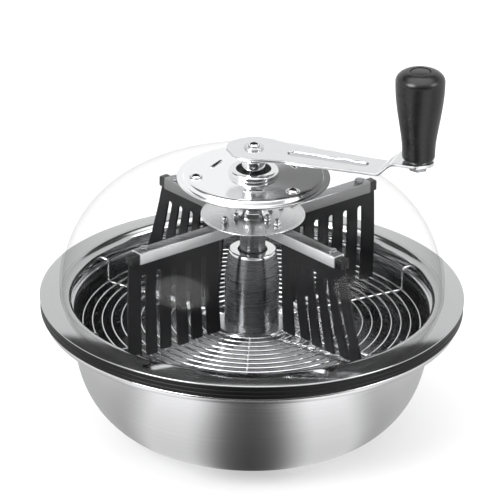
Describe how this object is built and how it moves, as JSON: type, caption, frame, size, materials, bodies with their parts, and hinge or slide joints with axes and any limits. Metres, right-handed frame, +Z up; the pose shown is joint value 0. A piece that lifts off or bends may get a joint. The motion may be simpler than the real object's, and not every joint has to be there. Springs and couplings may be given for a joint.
{
  "type": "bowl leaf trimmer",
  "caption": "Hand-cranked bowl trimmer: steel bowl, wire grate over geared blades, clear dome, rubber flaps on a crank with an upright knob.",
  "frame": {"origin": "centre of the bowl's flat base, on the axis of the bowl and crank shaft", "axes": "+Z up along the crank shaft, -Y the side the viewer faces, +X the side the crank points to at rest"},
  "size_m": [0.4059, 0.406, 0.3956],
  "materials": {
    "bowl_steel": "bright drawn stainless steel",
    "ring_steel": "circular brushed stainless steel",
    "gasket_rubber": "satin moulded rubber",
    "chromed_wire": "bright electroplate",
    "hub_chrome": "dark turned chrome",
    "machined_steel": "turned and ground steel",
    "bearing_bronze": "sintered bronze, oiled",
    "blade_steel": "ground stainless blade steel",
    "clear_plastic": "clear polished plastic",
    "polished_steel": "mirror polished stainless steel",
    "fastener_steel": "bright zinc-plated steel",
    "black_plastic": "satin black moulded plastic",
    "seal_rubber": "flat black rubber",
    "arm_steel": "lengthwise brushed steel",
    "crank_steel": "pressed bright steel",
    "flap_rubber": "flexible black rubber",
    "knob_plastic": "satin black handle plastic"
  },
  "bodies": {
    "bowl": {"bowl_lip": "bowl_steel", "bowl": "bowl_steel", "bowl_side": "bowl_steel", "bowl_base": "bowl_steel", "rim_gasket": "gasket_rubber"},
    "grate_unit": {"support_ring": "ring_steel", "grate_rings": "chromed_wire", "grate_spokes": "chromed_wire", "mount_disc": "machined_steel", "gear_housing": "hub_chrome", "housing_cap": "polished_steel", "housing_plug": "machined_steel", "ring_gear": "machined_steel", "input_bearing": "bearing_bronze", "output_bearing": "bearing_bronze", "base_screws": "fastener_steel"},
    "carrier": {"planet_carrier": "machined_steel", "planet_pins": "machined_steel"},
    "planet_1": {"planet_gear_1": "machined_steel"},
    "planet_2": {"planet_gear_2": "machined_steel"},
    "planet_3": {"planet_gear_3": "machined_steel"},
    "blades": {"sun_shaft": "machined_steel", "blade_collar": "machined_steel", "upper_blade": "blade_steel", "blade_spacer": "machined_steel", "lower_blade": "blade_steel", "blade_nut": "fastener_steel"},
    "lid": {"dome": "clear_plastic", "dome_crown": "clear_plastic", "top_plate": "polished_steel", "plate_seal": "seal_rubber", "collar": "polished_steel", "collar_bush": "black_plastic", "clamp_plate": "ring_steel", "top_screws": "fastener_steel", "top_nuts": "fastener_steel"},
    "crank": {"crank_arm": "crank_steel", "crank_shaft": "polished_steel", "crank_washer": "fastener_steel", "crank_screw": "fastener_steel", "shaft_column": "polished_steel", "flap_disc": "polished_steel", "flap_arm_1": "arm_steel", "flap_arm_2": "arm_steel", "flap_arm_3": "arm_steel", "flap_arm_4": "arm_steel", "flap_bars": "black_plastic", "flap_1": "flap_rubber", "flap_2": "flap_rubber", "flap_3": "flap_rubber", "flap_4": "flap_rubber", "arm_bolts": "fastener_steel", "arm_nuts": "fastener_steel", "tip_bolts": "fastener_steel", "drive_sleeve": "hub_chrome", "knob_bolt": "fastener_steel", "knob_nut": "fastener_steel", "knob_washer": "fastener_steel"},
    "knob": {"knob_grip": "knob_plastic", "knob_cap": "knob_plastic"}
  },
  "joints": [
    {"name": "grate_lift", "type": "slide", "parent": "bowl", "child": "grate_unit", "axis": [0, 0, 1], "range_m": [0, 0.06]},
    {"name": "lid_lift", "type": "slide", "parent": "grate_unit", "child": "lid", "axis": [0, 0, 1], "range_m": [0, 0.15]},
    {"name": "crank_turn", "type": "hinge", "parent": "lid", "child": "crank", "pos_m": [0, 0, 0.2898], "axis": [0, 0, 1], "continuous": true},
    {"name": "knob_spin", "type": "hinge", "parent": "crank", "child": "knob", "pos_m": [0.1544, -0.05226, 0.31], "axis": [0, 0, 1], "continuous": true},
    {"name": "carrier_turn", "type": "hinge", "parent": "grate_unit", "child": "carrier", "pos_m": [0, 0, 0.15], "axis": [0, 0, 1], "continuous": true},
    {"name": "blade_spin", "type": "hinge", "parent": "grate_unit", "child": "blades", "pos_m": [0, 0, 0.1], "axis": [0, 0, 1], "continuous": true},
    {"name": "planet_1_spin", "type": "hinge", "parent": "carrier", "child": "planet_1", "pos_m": [0.012, 0, 0.13], "axis": [0, 0, 1], "continuous": true},
    {"name": "planet_2_spin", "type": "hinge", "parent": "carrier", "child": "planet_2", "pos_m": [-0.006, 0.01039, 0.13], "axis": [0, 0, 1], "continuous": true},
    {"name": "planet_3_spin", "type": "hinge", "parent": "carrier", "child": "planet_3", "pos_m": [-0.006, -0.01039, 0.13], "axis": [0, 0, 1], "continuous": true}
  ],
  "couplings": [
    {"joint": "carrier_turn", "follows": "crank_turn", "ratio": 1},
    {"joint": "blade_spin", "follows": "crank_turn", "ratio": 5},
    {"joint": "planet_1_spin", "follows": "crank_turn", "ratio": -2.6667},
    {"joint": "planet_2_spin", "follows": "crank_turn", "ratio": -2.6667},
    {"joint": "planet_3_spin", "follows": "crank_turn", "ratio": -2.6667}
  ]
}
